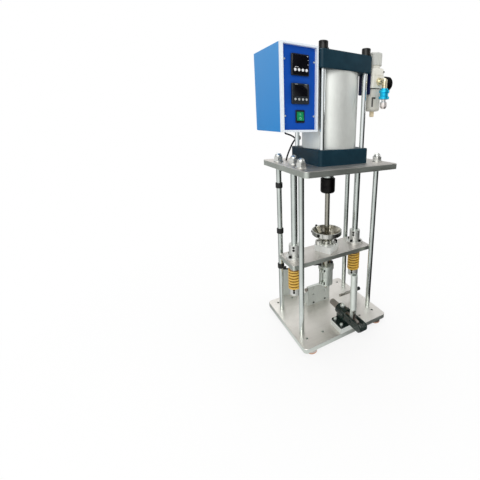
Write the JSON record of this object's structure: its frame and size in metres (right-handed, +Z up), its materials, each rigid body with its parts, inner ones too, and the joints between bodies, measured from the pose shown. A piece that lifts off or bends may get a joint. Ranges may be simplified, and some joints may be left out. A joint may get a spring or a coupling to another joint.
{
  "type": "vertical injection moulding machine",
  "caption": "Desktop pneumatic vertical injection moulding press with a spring-loaded injection carriage, hopper bowl, heated barrel, push-pull mould clamp, control box and air regulator.",
  "frame": {"origin": "on the floor, midway between the four feet, under the axis of the press cylinder", "axes": "+Z up along the press axis, +Y away from the toggle clamp towards the mould back plate, +X towards the air unit, -X towards the control box"},
  "size_m": [0.359, 0.348, 0.858],
  "materials": {
    "plate_aluminium": "brushed",
    "fixture_aluminium": "milled",
    "cylinder_tube": "satin",
    "block_aluminium": "polished",
    "rod_chrome": "polished",
    "machined_steel": "turned",
    "stainless": "polished",
    "cap_paint": "satin",
    "black_steel": "satin",
    "clamp_black": "semi gloss",
    "zinc_steel": "zinc plated",
    "box_blue": "powder coated",
    "panel_blue": "satin",
    "bezel_white": "gloss",
    "black_plastic": "matte",
    "cable_rubber": "matte",
    "rocker_green": "gloss",
    "spring_yellow": "semi gloss",
    "regulator_grey": "satin",
    "bracket_navy": "satin",
    "fitting_brass": "polished",
    "coupler_blue": "gloss",
    "plug_pale": "satin",
    "foot_steel": "turned",
    "foot_rubber": "matte"
  },
  "bodies": {
    "frame": {"base_plate": "plate_aluminium", "feet": "foot_steel", "foot_pads": "foot_rubber", "columns": "rod_chrome", "upper_plate": "plate_aluminium", "acorn_nuts": "machined_steel", "guide_rods": "rod_chrome", "rod_collars": "machined_steel", "die_springs": "spring_yellow", "cylinder_lower_cap": "cap_paint", "cylinder_barrel": "cylinder_tube", "cylinder_upper_cap": "cap_paint", "tie_rods": "rod_chrome", "tie_rod_screws": "black_steel", "box_bracket": "black_steel", "control_box": "box_blue", "box_bezel": "bezel_white", "front_panel": "panel_blue", "temperature_controllers": "black_plastic", "switch_frame": "black_plastic", "cable_gland": "black_plastic", "air_bracket": "bracket_navy", "regulator_body": "regulator_grey", "regulator_bowl": "regulator_grey", "pressure_gauge": "black_plastic", "inlet_elbow": "fitting_brass", "quick_coupler": "coupler_blue", "coupler_plug": "plug_pale", "mould_back_plate": "fixture_aluminium", "side_stop_post": "fixture_aluminium", "riser_block": "fixture_aluminium", "clamp_body": "clamp_black", "rear_plate": "fixture_aluminium", "cable_straps": "black_plastic", "control_cable": "cable_rubber"},
    "press": {"piston_rod": "rod_chrome", "rod_coupling": "black_steel", "plunger": "rod_chrome"},
    "carriage": {"carriage_plate": "plate_aluminium", "linear_bearings": "machined_steel", "clamp_block": "block_aluminium", "hopper_bowl": "stainless", "barrel": "machined_steel", "heater_band": "stainless", "heater_terminals": "black_plastic", "heater_lead": "cable_rubber"},
    "clamp_lever": {"clamp_lever": "zinc_steel"},
    "clamp_plunger": {"clamp_plunger": "machined_steel"},
    "side_stop": {"side_stop_rod": "machined_steel"},
    "regulator_knob": {"regulator_knob": "regulator_grey"},
    "rocker": {"rocker_button": "rocker_green"}
  },
  "joints": [
    {"name": "press_slide", "type": "slide", "parent": "frame", "child": "press", "axis": [0, 0, -1], "range_m": [0, 0.11]},
    {"name": "carriage_slide", "type": "slide", "parent": "frame", "child": "carriage", "axis": [0, 0, -1], "range_m": [0, 0.018], "stiffness_N_per_m": 20000, "springref_m": -0.01, "deforming": ["die_springs"]},
    {"name": "clamp_lever_hinge", "type": "hinge", "parent": "frame", "child": "clamp_lever", "pos_m": [-0.003, -0.156, 0.08], "axis": [1, 0, 0], "range_deg": [-27, 45]},
    {"name": "clamp_plunger_slide", "type": "slide", "parent": "frame", "child": "clamp_plunger", "axis": [0, 1, 0], "range_m": [-0.01296, 0.00778]},
    {"name": "side_stop_slide", "type": "slide", "parent": "frame", "child": "side_stop", "axis": [1, 0, 0], "range_m": [-0.005, 0.03]},
    {"name": "regulator_knob_turn", "type": "hinge", "parent": "frame", "child": "regulator_knob", "pos_m": [0.111, -0.061, 0.82], "axis": [0, 0, 1], "range_deg": [-360, 360]},
    {"name": "rocker_tilt", "type": "hinge", "parent": "frame", "child": "rocker", "pos_m": [-0.137, -0.067, 0.677], "axis": [1, 0, 0], "range_deg": [0, 14]}
  ],
  "couplings": [
    {"joint": "clamp_plunger_slide", "follows": "clamp_lever_hinge", "m_per_rad": -0.0165}
  ]
}
